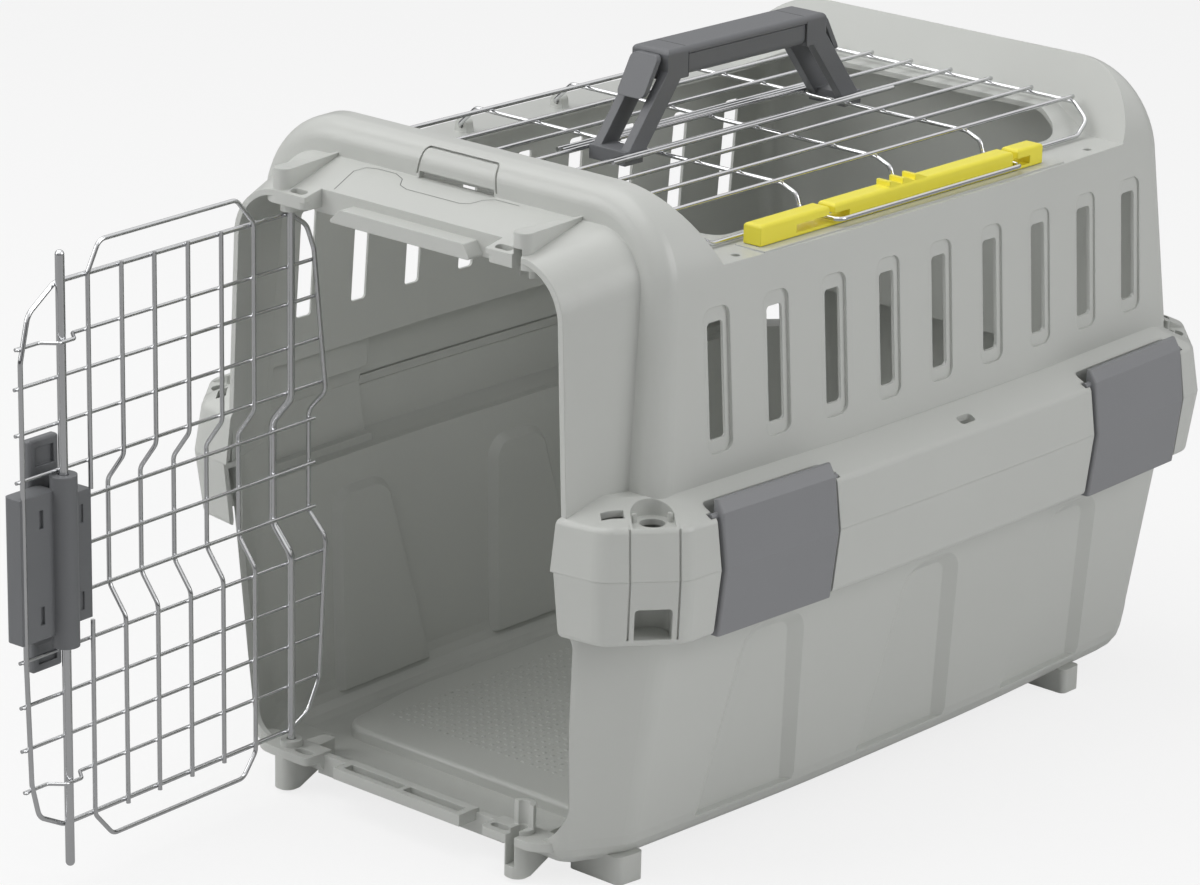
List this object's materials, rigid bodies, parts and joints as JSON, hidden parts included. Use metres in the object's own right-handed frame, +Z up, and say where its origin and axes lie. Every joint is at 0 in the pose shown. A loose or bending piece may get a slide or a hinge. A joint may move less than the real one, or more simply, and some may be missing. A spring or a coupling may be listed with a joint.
{
  "type": "pet carrier",
  "caption": "Hard-shell pet carrier with a wire front door, a wire roof hatch that carries the handle, a sliding hatch lock and side clips that hold the two shells together.",
  "frame": {"origin": "on the floor under the middle of the shell, between the four feet", "axes": "+Z up, front and door towards -Y, +X to the right of someone who looks at the door"},
  "size_m": [0.33, 0.6367, 0.3605],
  "materials": {
    "shell_plastic": "fine-grained satin",
    "clip_plastic": "satin",
    "latch_plastic": "satin",
    "handle_plastic": "satin",
    "slider_plastic": "smooth",
    "wire": "bright plated"
  },
  "bodies": {
    "shell": {"lower_shell": "shell_plastic", "upper_shell": "shell_plastic"},
    "clip_front_right": {"clip_front_right": "clip_plastic"},
    "clip_rear_right": {"clip_rear_right": "clip_plastic"},
    "clip_front_left": {"clip_front_left": "clip_plastic"},
    "clip_rear_left": {"clip_rear_left": "clip_plastic"},
    "door": {"door_frame_wire": "wire", "door_loop_wire": "wire", "door_upright_wires": "wire", "door_cross_wires": "wire", "door_middle_wires": "wire", "door_hinge_rod": "wire", "latch_housing": "latch_plastic"},
    "upper_lock": {"lock_rod_upper": "wire", "latch_tab_upper": "latch_plastic"},
    "lower_lock": {"lock_rod_lower": "wire", "latch_tab_lower": "latch_plastic"},
    "hatch": {"hatch_frame_wire": "wire", "hatch_long_wires": "wire", "hatch_cross_wires": "wire", "hatch_latch_wire": "wire", "hatch_brace_wires": "wire", "handle_frame": "handle_plastic", "handle_insert": "handle_plastic", "handle_flap_front": "handle_plastic", "handle_flap_rear": "handle_plastic"},
    "slider": {"hatch_slider": "slider_plastic"}
  },
  "joints": [
    {"name": "clip_front_right_hinge", "type": "hinge", "parent": "shell", "child": "clip_front_right", "pos_m": [0.15582, -0.14074, 0.1886], "axis": [-0.0421, -0.9991, 0], "range_deg": [0, 100]},
    {"name": "clip_rear_right_hinge", "type": "hinge", "parent": "shell", "child": "clip_rear_right", "pos_m": [0.15582, 0.14074, 0.1886], "axis": [0.0421, -0.9991, 0], "range_deg": [0, 100]},
    {"name": "clip_front_left_hinge", "type": "hinge", "parent": "shell", "child": "clip_front_left", "pos_m": [-0.15582, -0.14074, 0.1886], "axis": [-0.0421, 0.9991, 0], "range_deg": [0, 100]},
    {"name": "clip_rear_left_hinge", "type": "hinge", "parent": "shell", "child": "clip_rear_left", "pos_m": [-0.15582, 0.14074, 0.1886], "axis": [0.0421, 0.9991, 0], "range_deg": [0, 100]},
    {"name": "door_hinge", "type": "hinge", "parent": "shell", "child": "door", "pos_m": [-0.077, -0.223, 0.16], "axis": [0, 0, 1], "range_deg": [-23, 86.75]},
    {"name": "upper_lock_slide", "type": "slide", "parent": "door", "child": "upper_lock", "axis": [0, 0, 1], "range_m": [0, 0.005]},
    {"name": "lower_lock_slide", "type": "slide", "parent": "door", "child": "lower_lock", "axis": [0, 0, -1], "range_m": [0, 0.005]},
    {"name": "hatch_hinge", "type": "hinge", "parent": "shell", "child": "hatch", "pos_m": [-0.116, 0.003, 0.3002], "axis": [0, -1, 0], "range_deg": [0, 110]},
    {"name": "slider_slide", "type": "slide", "parent": "shell", "child": "slider", "axis": [0, 1, 0], "range_m": [-0.008, 0]}
  ],
  "couplings": [
    {"joint": "lower_lock_slide", "follows": "upper_lock_slide", "ratio": 1}
  ]
}
